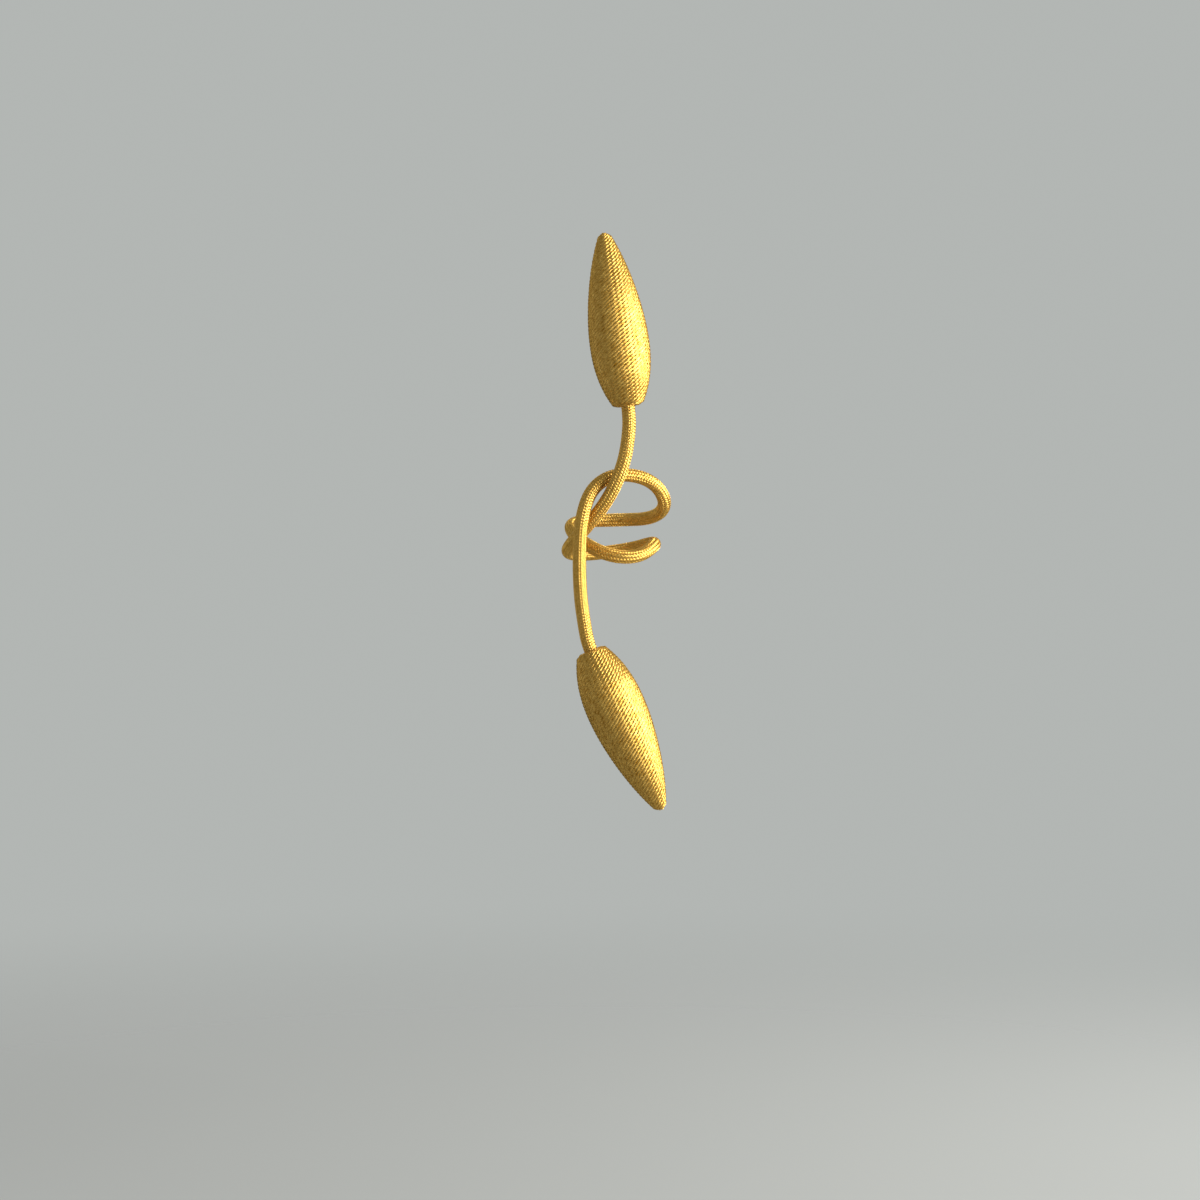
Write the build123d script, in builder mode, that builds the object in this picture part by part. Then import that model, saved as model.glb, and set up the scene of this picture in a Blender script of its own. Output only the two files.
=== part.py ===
"""Bendable curtain holdback, wound twice round the waist of a gathered curtain.

One covered wire carries a bud at each end. The wire keeps the shape that it is bent to. Each bud is
a turned wooden core, wound from its base to its tip with a twisted cord. Sizes are in millimetres.

The frame: the origin is the middle of the two loops, where the curtain passes, and +Z is up along
the curtain. The front of the holdback faces -Y.
"""

import os
from math import atan2, degrees, radians, tan

from build123d import *

os.makedirs("parts", exist_ok=True)

# Covered wire
rope_diameter = 6.5
wire_diameter = 3.0
wire_clearance = 0.2
run_share = 0.45  # share of the shorter run that a bend takes up on each side of its corner

# Buds
bud_length = 83.5
base_flat_radius = 5.6
base_radius = 7.8
base_rounding = 1.25
shoulder_radius = 11.7
shoulder_height = 10.5
belly_radius = 14.35
belly_height = 32.0
neck_radius = 9.8
neck_below_tip = 20.8
tip_radius = 4.0
tip_rounding = 3.5
knot_radius = 1.1
knot_standout = 0.7

# Winding of each bud
cord_diameter = 1.8
groove_depth = 0.45
winding_gap = 0.1

# How the covered wire sits in a bud
rope_insertion = 9.5
wire_insertion = 20.0
bore_clearance = 0.2
bore_end_gap = 0.5
mouth_chamfer = 0.6

# Corners of the wire's centre line: down from the upper bud, once round behind the waist, across its
# front, round behind it again, over the front and down to the lower bud.
route = [
    (5.0, -26.0, 65.4),
    (6.75, -26.0, 53.0),
    (6.5, -27.0, 42.0),
    (4.0, -27.5, 28.0),
    (-3.0, -24.0, 12.0),
    (-15.0, -18.0, -2.5),
    (-23.0, -9.0, -11.0),
    (-21.5, 5.0, -13.5),
    (-9.0, 15.0, -13.0),
    (8.5, 15.0, -10.5),
    (19.0, 5.5, -7.5),
    (19.0, -5.5, -9.5),
    (11.5, -13.5, -15.0),
    (-1.5, -15.0, -15.0),
    (-15.0, -8.5, -8.5),
    (-22.5, 2.5, -0.5),
    (-17.5, 12.0, 3.0),
    (1.0, 16.5, 3.5),
    (19.5, 9.5, 4.0),
    (25.5, -3.0, 11.0),
    (18.0, -14.0, 22.0),
    (1.0, -18.5, 25.0),
    (-11.0, -22.0, 18.0),
    (-16.0, -26.0, 3.5),
    (-17.0, -25.0, -15.0),
    (-16.5, -23.0, -33.0),
    (-14.5, -22.5, -47.5),
    (-12.6, -22.0, -57.5),
    (-7.9, -22.0, -68.0),
]

# Sizes that follow from those above
bore_radius = wire_diameter / 2 + wire_clearance
mouth_radius = rope_diameter / 2 + bore_clearance
core_inset = cord_diameter + winding_gap


def bend_radii(corners):
    """The radius of the arc at each inner corner, as large as its two runs allow."""
    radii = []
    for before, corner, after in zip(corners, corners[1:], corners[2:]):
        run_in = Vector(corner) - Vector(before)
        run_out = Vector(after) - Vector(corner)
        half_turn = radians(run_in.get_angle(run_out)) / 2
        radii.append(run_share * min(run_in.length, run_out.length) / tan(half_turn))
    return radii


def bud_seat(rope_end, next_corner):
    """The plane of a bud's base face, whose normal points to the bud's tip."""
    into_bud = (Vector(rope_end) - Vector(next_corner)).normalized()
    return Plane(Vector(rope_end) - into_bud * rope_insertion, x_dir=(0, -1, 0), z_dir=into_bud)


def profile_plane(seat):
    """The plane of a bud's half section: x is the distance from its axis, y the height."""
    return Plane(seat.origin, x_dir=seat.x_dir, z_dir=-seat.y_dir)


radii = bend_radii(route)
upper_seat = bud_seat(route[0], route[1])
lower_seat = bud_seat(route[-1], route[-2])


def tip_dome(rim, top):
    """Draws the round end of a bud's half section, from a rim to the top of its axis."""
    rise = top - rim.Y
    dome_radius = (rim.X**2 + rise**2) / (2 * rise)
    centre_height = top - dome_radius
    start_angle = degrees(atan2(rim.Y - centre_height, rim.X))
    CenterArc((0, centre_height), dome_radius, start_angle, 90 - start_angle)


# The outer line of a bud's half section, from the edge of the mouth to the tip
dome_height = bud_length - knot_standout
with BuildLine() as bud_outline:
    Line((mouth_radius, 0), (base_flat_radius, 0))
    TangentArc((base_flat_radius, 0), (base_radius, base_rounding), tangent=(1, 0))
    side = Spline(
        (base_radius, base_rounding),
        (shoulder_radius, shoulder_height),
        (belly_radius, belly_height),
        (neck_radius, bud_length - neck_below_tip),
        (tip_radius, bud_length - tip_rounding),
    )
    tip_dome(side @ 1, dome_height)
outline = bud_outline.wire()
turns = round(outline.length / cord_diameter)
side_stations = [0, 0.12, 0.27, 0.45, 0.65, 0.83, 1]


def inset_point(line, share, depth):
    """A point a depth inside a line of the outline, at a share of that line's length."""
    along = line % share
    return line @ share + Vector(-along.Y, along.X) * depth


def inset_outline(depth, inner_edge):
    """Draws the bud's outline moved inwards by a depth, from an inner edge at its base to the tip."""
    wall = [inset_point(side, share, depth) for share in side_stations]
    wall[0].Y = depth
    Line((inner_edge, depth), wall[0])
    wall_side = Spline(*wall)
    tip_dome(wall_side @ 1, dome_height - depth)


def wound_cord(seat):
    """The cord on one bud: a ridge for each turn, and the knot that ends it at the tip."""
    ridges = [Vector(mouth_radius, groove_depth)]
    for turn in range(turns):
        ridges.append(outline @ ((turn + 0.5) / turns))
        ridges.append(inset_point(outline, (turn + 1) / turns, groove_depth))
    ridges[-1] = Vector(0, dome_height - groove_depth)
    with BuildPart() as winding:
        with BuildSketch(profile_plane(seat)):
            with BuildLine():
                Polyline(*ridges, (0, dome_height - cord_diameter))
                inset_outline(cord_diameter, mouth_radius)
                Line((mouth_radius, cord_diameter), ridges[0])
            make_face()
        revolve(axis=Axis(seat.origin, seat.z_dir))
        with BuildSketch(profile_plane(seat)):
            with Locations((0, bud_length - knot_radius)):
                Circle(knot_radius)
                Rectangle(knot_radius, 2 * knot_radius, align=(Align.MAX, Align.CENTER), mode=Mode.SUBTRACT)
        revolve(axis=Axis(seat.origin, seat.z_dir))
    return winding.part


def bud_core(seat):
    """The turned core of one bud, bored for the covered wire and further in for the bare wire."""
    rope_bore_end = rope_insertion + bore_end_gap
    wire_bore_end = rope_insertion + wire_insertion + bore_end_gap
    with BuildPart() as core:
        with BuildSketch(profile_plane(seat)):
            with BuildLine():
                inset_outline(core_inset, mouth_radius + mouth_chamfer)
                Polyline(
                    (0, dome_height - core_inset),
                    (0, wire_bore_end),
                    (bore_radius, wire_bore_end),
                    (bore_radius, rope_bore_end),
                    (mouth_radius, rope_bore_end),
                    (mouth_radius, core_inset + mouth_chamfer),
                    (mouth_radius + mouth_chamfer, core_inset),
                )
            make_face()
        revolve(axis=Axis(seat.origin, seat.z_dir))
    return core.part


# Braided sleeve of the covered wire, with the bore that the wire fills
with BuildPart() as braided_sleeve:
    with BuildLine():
        sleeve_path = FilletPolyline(*route, radius=radii)
    with BuildSketch(Plane(sleeve_path @ 0, z_dir=sleeve_path % 0)):
        Circle(rope_diameter / 2)
        Circle(bore_radius, mode=Mode.SUBTRACT)
    sweep(path=sleeve_path)
braided_sleeve.part.label = "braided_sleeve"
export_step(braided_sleeve.part, "parts/braided_sleeve.step")

# Bendable wire inside the sleeve, whose bare ends reach further into the buds
wire_start = Vector(route[0]) + upper_seat.z_dir * wire_insertion
wire_end = Vector(route[-1]) + lower_seat.z_dir * wire_insertion
with BuildPart() as core_wire:
    with BuildLine():
        wire_path = FilletPolyline(wire_start, *route[1:-1], wire_end, radius=radii)
    with BuildSketch(Plane(wire_path @ 0, z_dir=wire_path % 0)):
        Circle(wire_diameter / 2)
    sweep(path=wire_path)
core_wire.part.label = "core_wire"
export_step(core_wire.part, "parts/core_wire.step")

# The two buds are alike, each on its own end of the covered wire
for place, seat in (("upper", upper_seat), ("lower", lower_seat)):
    core = bud_core(seat)
    core.label = f"{place}_bud_core"
    export_step(core, f"parts/{core.label}.step")
    winding = wound_cord(seat)
    winding.label = f"{place}_bud_winding"
    export_step(winding, f"parts/{winding.label}.step")

sleeve_section = braided_sleeve.part.volume / sleeve_path.length
wire_section = core_wire.part.volume / wire_path.length
print("turns on a bud:", turns)
print("bend radii:", [round(radius, 1) for radius in radii])
print("sleeve length:", round(sleeve_path.length, 1), "mean section:", round(sleeve_section, 2))
print("wire length:", round(wire_path.length, 1), "mean section:", round(wire_section, 2))
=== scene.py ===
"""Looks of a bendable curtain holdback: a braided gold rod with a cord-wound bud at each end.

Sizes of the object are in millimetres, as on the real one, and become metres where a mesh is made.
The floor, the lamps and the grain of the wire and the wood are in metres.
"""

from math import atan2, pi, radians

import bpy
import numpy as np
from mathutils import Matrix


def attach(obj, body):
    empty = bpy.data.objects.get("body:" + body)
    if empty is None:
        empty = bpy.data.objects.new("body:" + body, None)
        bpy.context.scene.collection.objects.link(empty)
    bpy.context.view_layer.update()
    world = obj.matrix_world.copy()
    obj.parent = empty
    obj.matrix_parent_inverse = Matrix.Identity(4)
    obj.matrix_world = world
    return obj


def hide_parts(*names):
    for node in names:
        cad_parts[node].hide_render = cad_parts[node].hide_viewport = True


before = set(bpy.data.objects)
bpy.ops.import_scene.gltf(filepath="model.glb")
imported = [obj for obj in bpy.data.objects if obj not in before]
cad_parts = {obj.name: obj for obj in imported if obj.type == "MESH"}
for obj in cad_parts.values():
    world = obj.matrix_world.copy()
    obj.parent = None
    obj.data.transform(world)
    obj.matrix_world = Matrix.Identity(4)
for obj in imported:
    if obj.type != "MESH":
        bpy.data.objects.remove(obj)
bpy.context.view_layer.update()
scene = bpy.context.scene
MM = 0.001
TOWARDS_CAMERA = (0.0, -1.0, 0.0)

# Camera, level with the middle of the picture
VIEW_CENTRE = (-7.1, -22.0, -35.5)
VIEW_WIDTH = 568.7
CAMERA_DISTANCE = 1300.0
SENSOR_WIDTH = 36.0

# Corners of the rod's centre line, from the upper bud to the lower one
ROUTE = [
    (5.0, -26.0, 65.4),
    (6.75, -26.0, 53.0),
    (6.5, -27.0, 42.0),
    (4.0, -27.5, 28.0),
    (-3.0, -24.0, 12.0),
    (-15.0, -18.0, -2.5),
    (-23.0, -9.0, -11.0),
    (-21.5, 5.0, -13.5),
    (-9.0, 15.0, -13.0),
    (8.5, 15.0, -10.5),
    (19.0, 5.5, -7.5),
    (19.0, -5.5, -9.5),
    (11.5, -13.5, -15.0),
    (-1.5, -15.0, -15.0),
    (-15.0, -8.5, -8.5),
    (-22.5, 2.5, -0.5),
    (-17.5, 12.0, 3.0),
    (1.0, 16.5, 3.5),
    (19.5, 9.5, 4.0),
    (25.5, -3.0, 11.0),
    (18.0, -14.0, 22.0),
    (1.0, -18.5, 25.0),
    (-11.0, -22.0, 18.0),
    (-16.0, -26.0, 3.5),
    (-17.0, -25.0, -15.0),
    (-16.5, -23.0, -33.0),
    (-14.5, -22.5, -47.5),
    (-12.6, -22.0, -57.5),
    (-7.9, -22.0, -68.0),
]
ROUTE_STEPS = 64  # points for each corner of the route

# Braid of the rod: as many yarns lean one way as the other, each over two and under two
YARNS_EACH_WAY = 16
BRAID_PITCH = 22.0
BRAID_RADIUS = 2.79
BRAID_WAVE = 0.235
BRAID_WAVES = YARNS_EACH_WAY // 2  # waves of a yarn in one turn round the rod
WAVE_STEPS = 6
WAVE_SQUARENESS = 2.0
YARN_HALF_WIDTH = 0.58
YARN_HALF_THICKNESS = 0.25
YARN_SIDES = 6
YARN_GIRTH = 4 * YARN_HALF_WIDTH
YARN_FILAMENTS = 7

# Buds
BUD_LENGTH = 83.5
KNOT_STANDOUT = 0.7
MOUTH_RADIUS = 3.45
BASE_FLAT_RADIUS = 5.6
SIDE_HEIGHTS = (1.25, 10.5, 32.0, 62.7, 80.0)
SIDE_RADII = (7.8, 11.7, 14.35, 9.8, 4.0)
SIDE_STEPS = 400
DOME_STEPS = 40
SECTION_STEPS = 1200
ROPE_INSERTION = 9.5

# Twisted cord wound on the buds
CORD_DIAMETER = 1.8
CORD_LAY = 5.1  # length of one twist
LAY_STEPS = 10
LAST_TURN_RADIUS = 0.7
PLIES = 2
PLY_HALF_WIDTH = 0.64
PLY_HALF_THICKNESS = 0.52
PLY_SWAY = 0.7
PLY_RISE = 0.22
PLY_SIDES = 6
PLY_GIRTH = pi * (PLY_HALF_WIDTH + PLY_HALF_THICKNESS)
PLY_FILAMENTS = 9

# Bed under the turns of the cord
BED_DEPTH = 0.48
BED_TIP_RADIUS = 0.05
BED_STEPS = 120
BED_SIDES = 64

# Knot that ends the cord at a bud's tip
KNOT_SCALE = 0.33
KNOT_CORD_RADIUS = 0.42
KNOT_STEPS = 72
KNOT_SIDES = 8

# Colours
# The gold's two colours are painted light and shade: GOLD_SHADE is painted shade between the thread's
# filaments and GOLD_SHEEN a painted sheen on their crests.
GOLD_SHADE = (0.36, 0.16, 0.005)
GOLD_SHEEN = (0.88, 0.58, 0.15)
WIRE_DARK = (0.5, 0.5, 0.51)
WIRE_LIGHT = (0.66, 0.66, 0.67)
WOOD_DARK = (0.42, 0.28, 0.15)
WOOD_LIGHT = (0.62, 0.46, 0.28)
FLOOR_GREY = (0.42, 0.435, 0.425)
BACKGROUND_GREY = (0.45, 0.47, 0.455)

# Grain of the materials, as changes for each millimetre of thread and each metre of wire and wood
FILAMENT_GRAIN = 0.35
WIRE_GRAIN = 900
WOOD_GRAIN_ACROSS = 500
WOOD_GRAIN_ALONG = 60

# Strengths of a grain between which it blends a material's two colours
BLEND_START = 0.3
BLEND_END = 0.7

# Floor: how far it reaches, and how it fades from its middle outwards
FLOOR_REACH = 3.0
FLOOR_HEIGHT = -0.3
FADE_START = 0.1
FADE_END = 1.1
LEAST_FADE = 0.4


def make_camera():
    """The camera looks level along +Y, as in the photograph."""
    data = bpy.data.cameras.new("camera")
    data.sensor_width = SENSOR_WIDTH
    data.lens = SENSOR_WIDTH * CAMERA_DISTANCE / VIEW_WIDTH
    camera = bpy.data.objects.new("camera", data)
    scene.collection.objects.link(camera)
    x, y, z = VIEW_CENTRE
    camera.location = (x * MM, (y - CAMERA_DISTANCE) * MM, z * MM)
    camera.rotation_euler = (radians(90), 0, 0)
    scene.camera = camera


def unit(vectors):
    """The vectors with their length made one."""
    return vectors / np.linalg.norm(vectors, axis=-1, keepdims=True)


def path_lengths(points):
    """The length along a line of points, up to each of them."""
    steps = np.linalg.norm(np.diff(points, axis=0), axis=1)
    return np.concatenate([[0], np.cumsum(steps)])


def resampled(points, count):
    """As many points as asked for, evenly spaced along a line of points."""
    along = path_lengths(points)
    places = np.linspace(0, along[-1], count)
    return np.stack([np.interp(places, along, column) for column in points.T], axis=1)


def rod_line():
    """The rod's centre line, read from a smooth spline along its route."""
    curve = bpy.data.curves.new("rod_route", "CURVE")
    curve.dimensions = "3D"
    spline = curve.splines.new("NURBS")
    spline.points.add(len(ROUTE) - 1)
    for point, corner in zip(spline.points, ROUTE):
        point.co = (*corner, 1)
    spline.order_u = 3
    spline.use_endpoint_u = True
    spline.resolution_u = ROUTE_STEPS
    carrier = bpy.data.objects.new("rod_route", curve)
    mesh = bpy.data.meshes.new_from_object(carrier)
    points = np.array([vertex.co for vertex in mesh.vertices], float)
    bpy.data.meshes.remove(mesh)
    bpy.data.objects.remove(carrier)
    return points


def untwisted_sides(line, first_side):
    """The direction along a line at each point, and a side direction that turns only as the line does."""
    along = unit(np.gradient(line, axis=0))
    sides = [unit(first_side - along[0] * np.dot(first_side, along[0]))]
    for direction in along[1:]:
        side = sides[-1] - direction * np.dot(sides[-1], direction)
        sides.append(unit(side))
    return along, np.array(sides)


def strand_rings(line, outward, half_width, half_thickness, sides):
    """The oval rings of corners of a strand along a line, wide side across and thin side outward."""
    along = unit(np.gradient(line, axis=0))
    across = unit(np.cross(along, outward))
    outward = np.cross(across, along)
    angle = np.linspace(0, 2 * pi, sides, endpoint=False)[:, None]
    wide = half_width * np.cos(angle) * across[:, None]
    thick = half_thickness * np.sin(angle) * outward[:, None]
    return line[:, None] + wide + thick


def wrapped(rings, number, girth):
    """A strand's rings, with the place of each corner across a thread that wraps round the strand.

    Strands with different numbers show different stretches of the thread.
    """
    count, sides = rings.shape[:2]
    across = (number + np.linspace(0, 1, sides + 1)) * girth
    return rings, np.tile(across, (count, 1))


def strand_faces(rings, across, first):
    """The faces round one strand, the two that close its ends, and the thread's place at each corner.

    The strand's own corners are numbered from first on.
    """
    count, sides = rings.shape[:2]
    ring, side = np.meshgrid(np.arange(count - 1), np.arange(sides), indexing="ij")
    ring = ring.ravel()
    side = side.ravel()
    after = (side + 1) % sides
    here = first + ring * sides
    ahead = here + sides
    faces = np.stack([here + side, ahead + side, ahead + after, here + after], axis=1)
    last = first + count * sides - 1
    caps = [list(range(first, first + sides)), list(range(last, last - sides, -1))]
    along = path_lengths(rings.mean(axis=1))
    near = along[ring]
    far = along[ring + 1]
    low = across[ring, side]
    high = across[ring, side + 1]
    low_ahead = across[ring + 1, side]
    high_ahead = across[ring + 1, side + 1]
    thread = np.stack([near, low, far, low_ahead, far, high_ahead, near, high], axis=1)
    return faces, caps, thread.reshape(-1, 2)


def strand_mesh(name, strands):
    """A mesh of closed strands, each given by its rings and the places across its thread."""
    corners = []
    faces = []
    caps = []
    thread = []
    first = 0
    for rings, across in strands:
        strand_sides, strand_caps, strand_thread = strand_faces(rings, across, first)
        corners.append(rings.reshape(-1, 3))
        faces.append(strand_sides)
        caps += strand_caps
        thread.append(strand_thread)
        first += len(corners[-1])
    mesh = bpy.data.meshes.new(name)
    mesh.from_pydata(np.concatenate(corners) * MM, [], np.concatenate(faces).tolist() + caps)
    thread = np.concatenate(thread)
    on_caps = np.zeros((len(mesh.loops) - len(thread), 2))
    places = np.concatenate([thread, on_caps]).astype(np.float32)
    mesh.uv_layers.new(name="thread").uv.foreach_set("vector", places.ravel())
    mesh.shade_smooth()
    return mesh


def strand_piece(name, strands, material, node):
    """One piece made of strands, which stands in for a solid of the part."""
    mesh = strand_mesh(name, strands)
    mesh.materials.append(material)
    piece = bpy.data.objects.new(name, mesh)
    scene.collection.objects.link(piece)
    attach(piece, "root")
    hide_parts(node)


def yarn_rings(line, sides, hands, lean, number):
    """The rings of one yarn of the braid. It leans right where lean is 1 and left where it is -1."""
    turn = 2 * pi * (lean * path_lengths(line) / BRAID_PITCH + number / YARNS_EACH_WAY)
    wave = np.tanh(WAVE_SQUARENESS * np.cos(BRAID_WAVES * turn - pi / 4)) / np.tanh(WAVE_SQUARENESS)
    radius = BRAID_RADIUS + lean * BRAID_WAVE * wave
    outward = np.cos(turn)[:, None] * sides + np.sin(turn)[:, None] * hands
    yarn = line + radius[:, None] * outward
    return strand_rings(yarn, outward, YARN_HALF_WIDTH, YARN_HALF_THICKNESS, YARN_SIDES)


def braid_pieces(material):
    """The braid round the rod, in two pieces: the yarns that lean right and those that lean left."""
    line = rod_line()
    length = path_lengths(line)[-1]
    line = resampled(line, round(length * BRAID_WAVES * WAVE_STEPS / BRAID_PITCH))
    along, sides = untwisted_sides(line, np.array(TOWARDS_CAMERA))
    hands = np.cross(along, sides)
    for name, lean in (("right_laid_yarns", 1), ("left_laid_yarns", -1)):
        strands = []
        for number in range(YARNS_EACH_WAY):
            rings = yarn_rings(line, sides, hands, lean, number)
            strands.append(wrapped(rings, number, YARN_GIRTH))
        strand_piece(name, strands, material, "braided_sleeve")


def bud_section():
    """The half section of a bud from its mouth to its tip, as distances from the axis and heights."""
    heights = np.linspace(SIDE_HEIGHTS[0], SIDE_HEIGHTS[-1], SIDE_STEPS)
    shape = np.polyfit(SIDE_HEIGHTS, SIDE_RADII, len(SIDE_HEIGHTS) - 1)
    side = np.stack([np.polyval(shape, heights), heights], axis=1)
    top = BUD_LENGTH - KNOT_STANDOUT
    rise = top - SIDE_HEIGHTS[-1]
    dome_radius = (SIDE_RADII[-1] ** 2 + rise**2) / (2 * rise)
    start = atan2(dome_radius - rise, SIDE_RADII[-1])
    angle = np.linspace(start, pi / 2, DOME_STEPS)[1:]
    dome = np.stack([np.cos(angle), np.sin(angle)], axis=1) * dome_radius + (0, top - dome_radius)
    base = np.array([(MOUTH_RADIUS, 0), (BASE_FLAT_RADIUS, 0)])
    return resampled(np.concatenate([base, side, dome]), SECTION_STEPS)


def into_bud(section):
    """The direction into the bud at each point of its half section."""
    tangent = unit(np.gradient(section, axis=0))
    return np.stack([-tangent[:, 1], tangent[:, 0]], axis=1)


def bud_frame(rope_end, next_corner):
    """The middle of a bud's base, its axis towards the tip, and two directions across it."""
    end = np.array(rope_end)
    axis = unit(end - np.array(next_corner))
    front = unit(np.cross(np.cross(axis, TOWARDS_CAMERA), axis))
    return end - axis * ROPE_INSERTION, axis, front, np.cross(axis, front)


def cord_places(whole, sunk):
    """The places along a bud's section where the cord has its points, evenly spaced along the cord.

    whole is the length along the section, and sunk is the section moved in by half a cord.
    """
    wound = (whole >= CORD_DIAMETER / 2) & ((sunk[:, 0] > LAST_TURN_RADIUS) | (whole < whole[-1] / 2))
    along = whole[wound]
    radius = np.maximum(sunk[wound, 0], LAST_TURN_RADIUS)
    cord_length = np.cumsum(np.hypot(2 * pi * radius / CORD_DIAMETER, 1) * np.gradient(along))
    count = round((cord_length[-1] - cord_length[0]) * LAY_STEPS / CORD_LAY)
    return np.interp(np.linspace(cord_length[0], cord_length[-1], count), cord_length, along)


def cord_twist(turns, radius):
    """The cord's twist at each point, with a whole number of twists in each turn round the bud.

    The plies of each turn then line up with those of the turns beside it.
    """
    middle_radii = np.interp(np.round(turns), turns, radius)
    twists_each_turn = np.round(2 * pi * middle_radii / CORD_LAY)
    return 2 * pi * np.cumsum(twists_each_turn * np.gradient(turns))


def cord_line(seat):
    """The line of the cord wound on a bud, with the direction out of the bud and the twist at each point."""
    origin, axis, front, hand = seat
    section = bud_section()
    whole = path_lengths(section)
    inward = into_bud(section)
    sunk = section + inward * CORD_DIAMETER / 2
    along = cord_places(whole, sunk)
    radius = np.interp(along, whole, sunk[:, 0])
    height = np.interp(along, whole, sunk[:, 1])[:, None]
    out_radial = np.interp(along, whole, -inward[:, 0])[:, None]
    out_axial = np.interp(along, whole, -inward[:, 1])[:, None]
    turns = along / CORD_DIAMETER
    angle = 2 * pi * turns[:, None]
    radial = np.cos(angle) * front + np.sin(angle) * hand
    line = origin + radius[:, None] * radial + height * axis
    outward = unit(out_radial * radial + out_axial * axis)
    return line, outward, cord_twist(turns, radius)


def ply_rings(line, outward, twist, number):
    """The rings of one ply of the twisted cord, whose thread lies along the cord and not the ply."""
    along = unit(np.gradient(line, axis=0))
    beside = np.cross(outward, along)
    phase = (twist + 2 * pi * number / PLIES)[:, None]
    ply = line + PLY_RISE * np.cos(phase) * outward + PLY_SWAY * np.sin(phase) * beside
    away = np.cos(phase) * outward + np.sin(phase) * beside
    rings = strand_rings(ply, away, PLY_HALF_WIDTH, PLY_HALF_THICKNESS, PLY_SIDES)
    across = np.sum((rings - line[:, None]) * beside[:, None], axis=2)
    return rings, np.concatenate([across, across[:, :1]], axis=1)


def bed_rings(seat):
    """The rings of the bed in which the turns of the cord lie, pressed together."""
    origin, axis, front, hand = seat
    section = resampled(bud_section(), BED_STEPS)
    sunk = section + into_bud(section) * BED_DEPTH
    radius = np.maximum(sunk[:, 0], BED_TIP_RADIUS)[:, None, None]
    height = sunk[:, 1][:, None, None]
    angle = np.linspace(0, 2 * pi, BED_SIDES, endpoint=False)[:, None]
    return origin + height * axis + radius * (np.cos(angle) * front + np.sin(angle) * hand)


def knot_rings(seat):
    """The rings of the small overhand knot that ends the cord at the tip of a bud."""
    origin, axis, front, hand = seat
    middle = origin + axis * (BUD_LENGTH - 2 * KNOT_STANDOUT)
    angle = np.linspace(0, 2 * pi, KNOT_STEPS)[:, None]
    flat = (np.sin(angle) + 2 * np.sin(2 * angle)) * front
    flat = flat + (np.cos(angle) - 2 * np.cos(2 * angle)) * hand
    line = middle + KNOT_SCALE * (flat - np.sin(3 * angle) * axis)
    return strand_rings(line, unit(line - middle), KNOT_CORD_RADIUS, KNOT_CORD_RADIUS, KNOT_SIDES)


def bud_winding(place, rope_end, next_corner, material):
    """The twisted cord wound on one bud, on its bed and with its knot at the tip."""
    seat = bud_frame(rope_end, next_corner)
    line, outward, twist = cord_line(seat)
    strands = [ply_rings(line, outward, twist, number) for number in range(PLIES)]
    strands.append(wrapped(bed_rings(seat), 0, PLY_GIRTH))
    strands.append(wrapped(knot_rings(seat), 1, PLY_GIRTH))
    strand_piece(f"{place}_bud_cord", strands, material, f"{place}_bud_winding")


def new_material(name):
    """A material with its nodes, links and main shader."""
    material = bpy.data.materials.new(name)
    material.use_nodes = True
    nodes = material.node_tree.nodes
    return material, nodes, material.node_tree.links, nodes["Principled BSDF"]


def stretched(nodes, links, place, scales):
    """A place whose three directions are each scaled by themselves."""
    stretch = nodes.new("ShaderNodeMapping")
    stretch.inputs["Scale"].default_value = scales
    links.new(place, stretch.inputs["Vector"])
    return stretch.outputs["Vector"]


def grain(nodes, links, place, scale, detail):
    """The strength of a noise texture at a place."""
    noise = nodes.new("ShaderNodeTexNoise")
    noise.inputs["Scale"].default_value = scale
    noise.inputs["Detail"].default_value = detail
    links.new(place, noise.inputs["Vector"])
    return noise.outputs["Fac"]


def raise_grain(nodes, links, shader, height, strength, depth):
    """Lets a texture raise the surface of a shader, by a depth in millimetres."""
    bump = nodes.new("ShaderNodeBump")
    bump.inputs["Strength"].default_value = strength
    bump.inputs["Distance"].default_value = depth * MM
    links.new(height, bump.inputs["Height"])
    links.new(bump.outputs["Normal"], shader.inputs["Normal"])


def colour_grain_and_painted_sheen(nodes, links, shader, factor, dark, light):
    """Lets a texture blend two colours into the colour of a shader. On wood and wire the colours follow the
    grain and the marks; on the gold thread they are painted shade between the filaments and a painted sheen
    on their crests.
    """
    ramp = nodes.new("ShaderNodeValToRGB")
    ramp.color_ramp.elements[0].color = (*dark, 1)
    ramp.color_ramp.elements[0].position = BLEND_START
    ramp.color_ramp.elements[1].color = (*light, 1)
    ramp.color_ramp.elements[1].position = BLEND_END
    links.new(factor, ramp.inputs["Fac"])
    links.new(ramp.outputs["Color"], shader.inputs["Base Color"])


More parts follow.
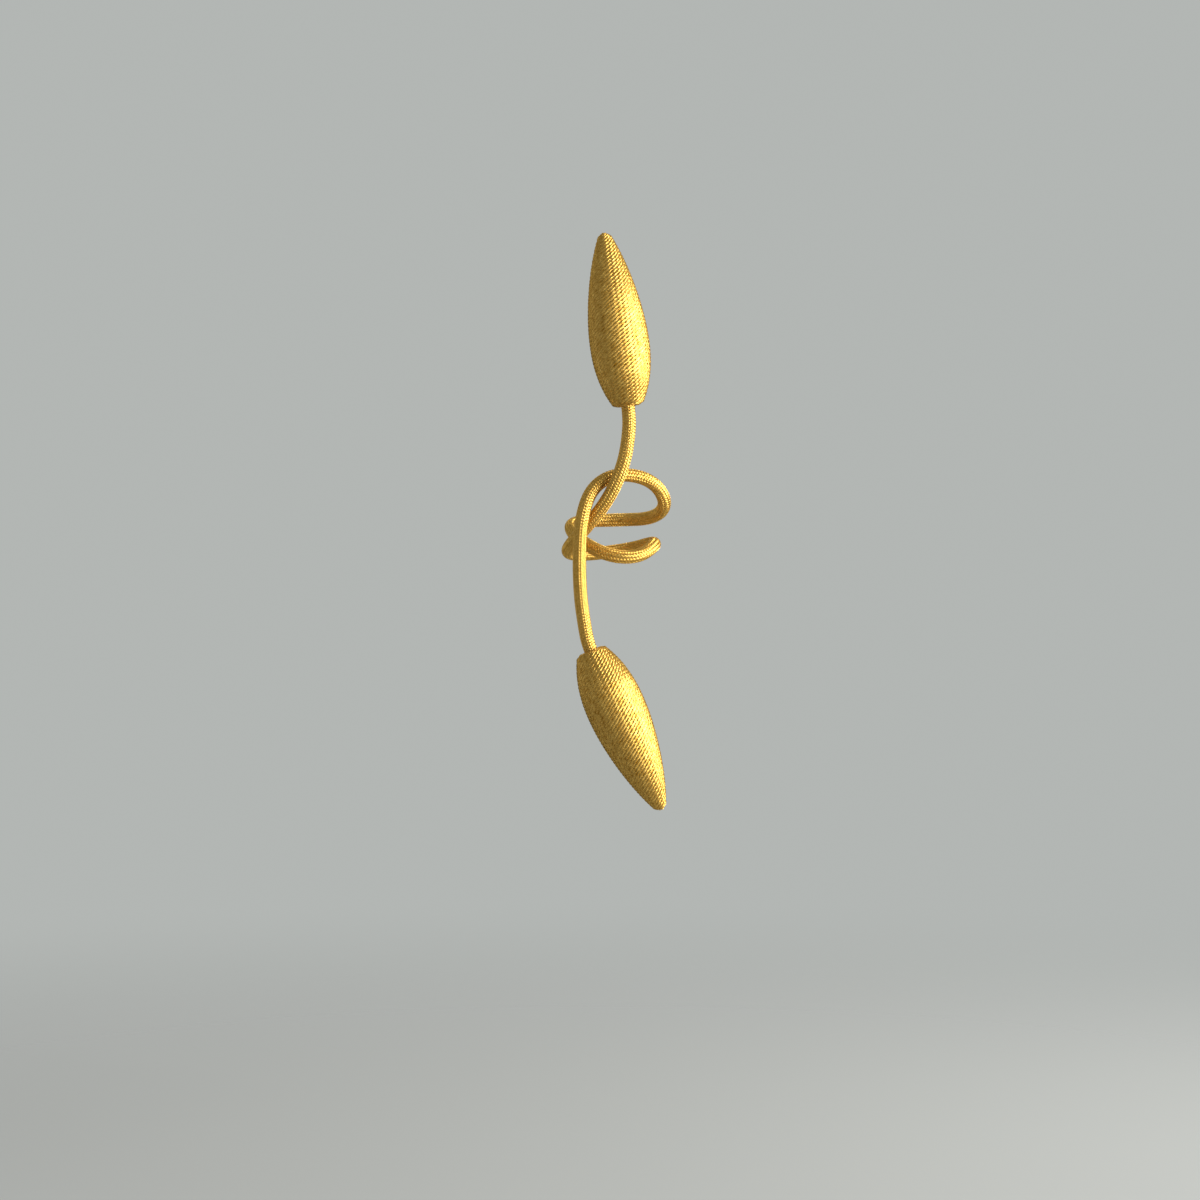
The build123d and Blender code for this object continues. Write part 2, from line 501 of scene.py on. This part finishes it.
def gold_thread(name, filaments, width):
    """Shiny gold thread: fine filaments lie along each strand, with painted shade between them and a painted
    sheen on their crests.
    """
    material, nodes, links, shader = new_material(name)
    place = nodes.new("ShaderNodeUVMap")
    place.uv_map = "thread"
    drawn_out = stretched(nodes, links, place.outputs["UV"], (FILAMENT_GRAIN, filaments / width, 1))
    fibres = grain(nodes, links, drawn_out, scale=1, detail=3)
    raise_grain(nodes, links, shader, fibres, strength=0.5, depth=0.06)
    # Painted shade and sheen: the thread is darker where its filament grain dips and lighter on the crests
    # that the bump raises.
    colour_grain_and_painted_sheen(nodes, links, shader, fibres, GOLD_SHADE, GOLD_SHEEN)
    shader.inputs["Metallic"].default_value = 0.8
    shader.inputs["Roughness"].default_value = 0.38
    shader.inputs["Anisotropic"].default_value = 1
    shader.inputs["Anisotropic Rotation"].default_value = 0.25
    shader.inputs["Specular Tint"].default_value = (1.0, 0.75, 0.3, 1)
    shader.inputs["Coat Weight"].default_value = 0.1
    shader.inputs["Coat Roughness"].default_value = 0.25
    tangent = nodes.new("ShaderNodeTangent")
    tangent.direction_type = "UV_MAP"
    tangent.uv_map = "thread"
    links.new(tangent.outputs["Tangent"], shader.inputs["Tangent"])
    return material


def drawn_wire():
    """Bare aluminium wire with faint drawing marks."""
    material, nodes, links, shader = new_material("bare_wire")
    place = nodes.new("ShaderNodeTexCoord")
    marks = grain(nodes, links, place.outputs["Object"], scale=WIRE_GRAIN, detail=4)
    raise_grain(nodes, links, shader, marks, strength=0.2, depth=0.02)
    colour_grain_and_painted_sheen(nodes, links, shader, marks, WIRE_DARK, WIRE_LIGHT)
    shader.inputs["Metallic"].default_value = 1
    shader.inputs["Roughness"].default_value = 0.35
    return material


def turned_wood():
    """Pale turned wood with its grain upright."""
    material, nodes, links, shader = new_material("turned_wood")
    place = nodes.new("ShaderNodeTexCoord")
    scales = (WOOD_GRAIN_ACROSS, WOOD_GRAIN_ACROSS, WOOD_GRAIN_ALONG)
    drawn_out = stretched(nodes, links, place.outputs["Object"], scales)
    fibres = grain(nodes, links, drawn_out, scale=1, detail=5)
    raise_grain(nodes, links, shader, fibres, strength=0.2, depth=0.05)
    colour_grain_and_painted_sheen(nodes, links, shader, fibres, WOOD_DARK, WOOD_LIGHT)
    shader.inputs["Roughness"].default_value = 0.7
    return material


def dress_solids():
    """Wire and wood on the solids that the braid and the cord hide."""
    wood = turned_wood()
    finishes = {"core_wire": drawn_wire(), "upper_bud_core": wood, "lower_bud_core": wood}
    for node, material in finishes.items():
        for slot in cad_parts[node].material_slots:
            slot.material = material


def mixed(nodes, links, factor, first, second):
    """A blend of two shaders, the second where the factor is one."""
    mix = nodes.new("ShaderNodeMixShader")
    links.new(factor, mix.inputs["Fac"])
    links.new(first, mix.inputs[1])
    links.new(second, mix.inputs[2])
    return mix.outputs["Shader"]


def make_floor():
    """A plain pale floor that fades into the background further out."""
    mesh = bpy.data.meshes.new("floor")
    reach = FLOOR_REACH
    corners = [(-reach, -reach, 0), (reach, -reach, 0), (reach, reach, 0), (-reach, reach, 0)]
    mesh.from_pydata(corners, [], [(0, 1, 2, 3)])
    floor = bpy.data.objects.new("floor", mesh)
    floor.location = (0, 0, FLOOR_HEIGHT)
    scene.collection.objects.link(floor)
    material, nodes, links, shader = new_material("floor")
    shader.inputs["Base Color"].default_value = (*FLOOR_GREY, 1)
    shader.inputs["Roughness"].default_value = 0.9
    place = nodes.new("ShaderNodeTexCoord")
    distance = nodes.new("ShaderNodeVectorMath")
    distance.operation = "LENGTH"
    links.new(place.outputs["Object"], distance.inputs[0])
    fade = nodes.new("ShaderNodeMapRange")
    fade.interpolation_type = "SMOOTHSTEP"
    fade.inputs["From Min"].default_value = FADE_START
    fade.inputs["From Max"].default_value = FADE_END
    fade.inputs["To Min"].default_value = LEAST_FADE
    links.new(distance.outputs["Value"], fade.inputs["Value"])
    clear = nodes.new("ShaderNodeBsdfTransparent")
    faded = mixed(nodes, links, fade.outputs["Result"], shader.outputs["BSDF"], clear.outputs["BSDF"])
    links.new(faded, nodes["Material Output"].inputs["Surface"])
    mesh.materials.append(material)


def make_world():
    """A plain background for what looks at it directly, and a dimmer light from all round."""
    world = bpy.data.worlds.new("world")
    world.use_nodes = True
    scene.world = world
    nodes = world.node_tree.nodes
    links = world.node_tree.links
    light = nodes["Background"]
    light.inputs["Color"].default_value = (1.0, 0.95, 0.9, 1)
    light.inputs["Strength"].default_value = 0.1
    shown = nodes.new("ShaderNodeBackground")
    shown.inputs["Color"].default_value = (*BACKGROUND_GREY, 1)
    rays = nodes.new("ShaderNodeLightPath")
    looks = rays.outputs["Is Camera Ray"]
    for kind in ("Is Glossy Ray", "Is Transmission Ray"):
        either = nodes.new("ShaderNodeMath")
        either.operation = "MAXIMUM"
        links.new(looks, either.inputs[0])
        links.new(rays.outputs[kind], either.inputs[1])
        looks = either.outputs["Value"]
    seen = mixed(nodes, links, looks, light.outputs["Background"], shown.outputs["Background"])
    links.new(seen, nodes["World Output"].inputs["Surface"])


def soft_light(name, place, width, height, power, colour):
    """A wide soft light that points at the middle of the object."""
    data = bpy.data.lights.new(name, "AREA")
    data.shape = "RECTANGLE"
    data.size = width
    data.size_y = height
    data.energy = power
    data.color = colour
    light = bpy.data.objects.new(name, data)
    light.location = place
    light.rotation_euler = light.location.to_track_quat("Z", "Y").to_euler()
    light.visible_camera = False
    scene.collection.objects.link(light)


def make_lights():
    """A strong light from the right, and weak ones from behind on the left and from behind above."""
    soft_light("key", (1.35, -0.4, 0.3), width=1.4, height=1.1, power=70, colour=(1.0, 0.98, 0.94))
    soft_light("fill", (-1.3, 0.5, 0.0), width=0.8, height=1.0, power=1.5, colour=(1.0, 0.96, 0.92))
    soft_light("back", (-0.3, 1.4, 0.9), width=1.0, height=1.0, power=4, colour=(1.0, 1.0, 1.0))


make_camera()
scene.view_settings.view_transform = "Standard"

braid_pieces(gold_thread("gold_braid", YARN_FILAMENTS, 2 * YARN_HALF_WIDTH))
cord_gold = gold_thread("gold_cord", PLY_FILAMENTS, 2 * PLY_HALF_WIDTH)
bud_winding("upper", ROUTE[0], ROUTE[1], cord_gold)
bud_winding("lower", ROUTE[-1], ROUTE[-2], cord_gold)
dress_solids()

make_floor()
make_world()
make_lights()
